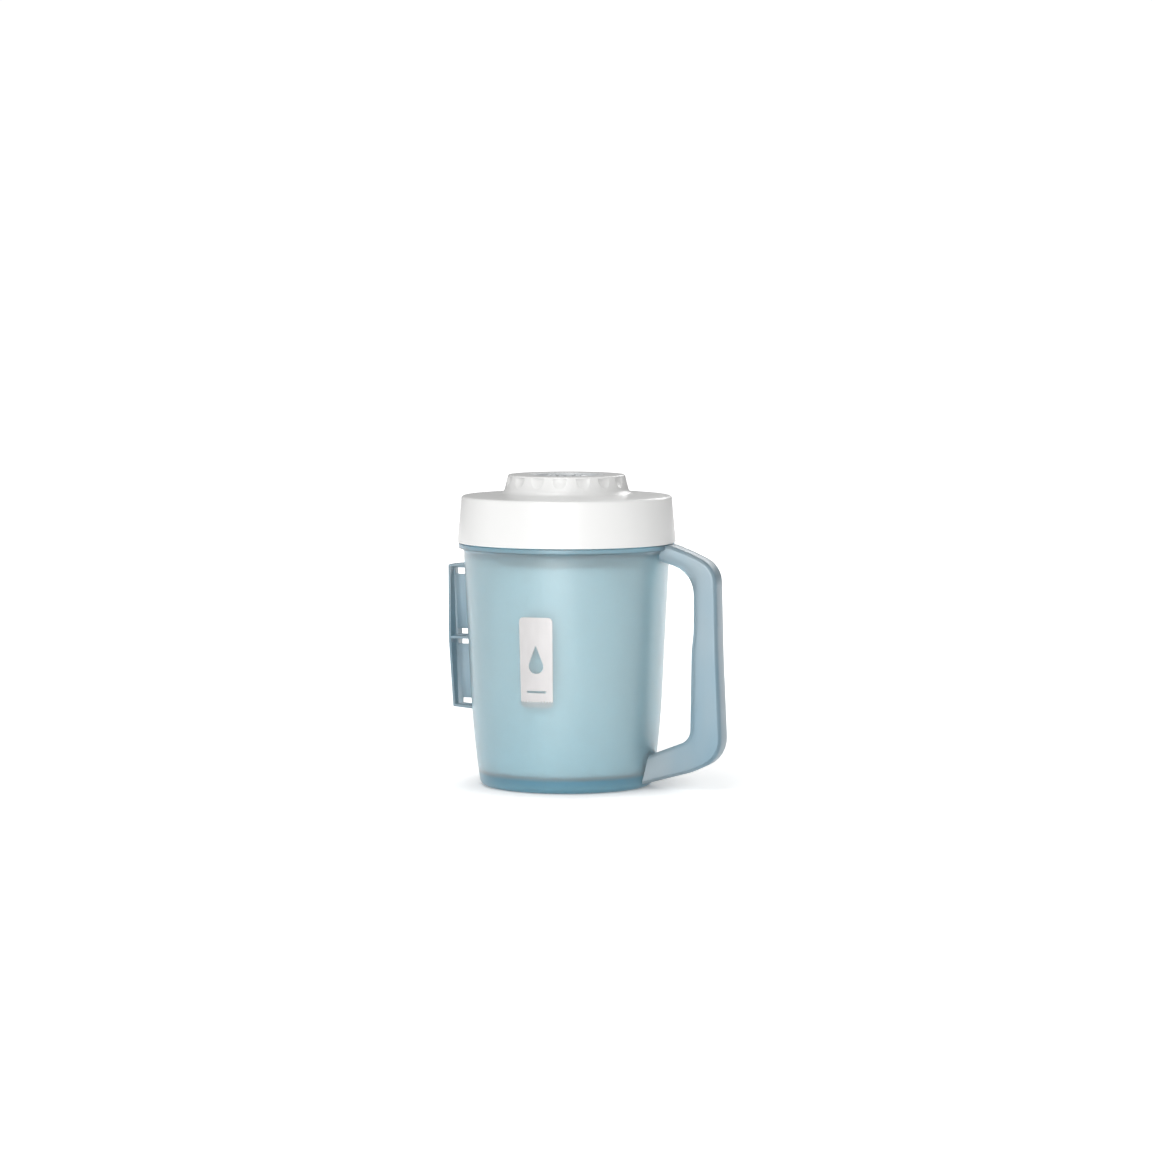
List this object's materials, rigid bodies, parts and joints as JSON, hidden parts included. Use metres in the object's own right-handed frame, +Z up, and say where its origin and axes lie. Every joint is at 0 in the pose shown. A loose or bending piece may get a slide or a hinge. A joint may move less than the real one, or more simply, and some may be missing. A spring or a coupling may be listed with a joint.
{
  "type": "portable wipe dispenser bucket",
  "caption": "Portable centre-feed wipe dispenser: translucent bucket with a D handle and hanger rail, a bayonet lid with a turning nozzle, and the roll of wipes inside.",
  "frame": {"origin": "on the bucket's axis, in the plane of the foot that it stands on", "axes": "+Z up, +X towards the D handle, -X towards the hanger rail, -Y is the front with the printed mark"},
  "size_m": [0.3219, 0.2458, 0.35],
  "materials": {
    "bucket_plastic": "satin",
    "handle_plastic": "satin",
    "wipe_web": "matte",
    "seal_rubber": "matte",
    "lid_plastic": "gloss",
    "nozzle_plastic": "gloss",
    "tear_ring_elastomer": "matte"
  },
  "bodies": {
    "root": {"bucket": "bucket_plastic", "hanger_rail": "bucket_plastic", "handle_grip": "handle_plastic", "handle_cover": "handle_plastic", "wipe_roll": "wipe_web"},
    "lid_seal": {"lid_gasket": "seal_rubber"},
    "lid": {"lid_shell": "lid_plastic"},
    "nozzle": {"nozzle_housing": "nozzle_plastic", "finger_crown": "nozzle_plastic", "tear_ring": "tear_ring_elastomer", "nozzle_retainer": "nozzle_plastic"}
  },
  "joints": [
    {"name": "lid_lift", "type": "slide", "parent": "root", "child": "lid_seal", "axis": [0, 0, 1], "range_m": [0, 0.12]},
    {"name": "lid_turn", "type": "hinge", "parent": "lid_seal", "child": "lid", "pos_m": [0, 0, 0.3], "axis": [0, 0, 1], "range_deg": [-40, 0]},
    {"name": "nozzle_spin", "type": "hinge", "parent": "lid", "child": "nozzle", "pos_m": [0, 0, 0.34], "axis": [0, 0, 1], "continuous": true}
  ]
}
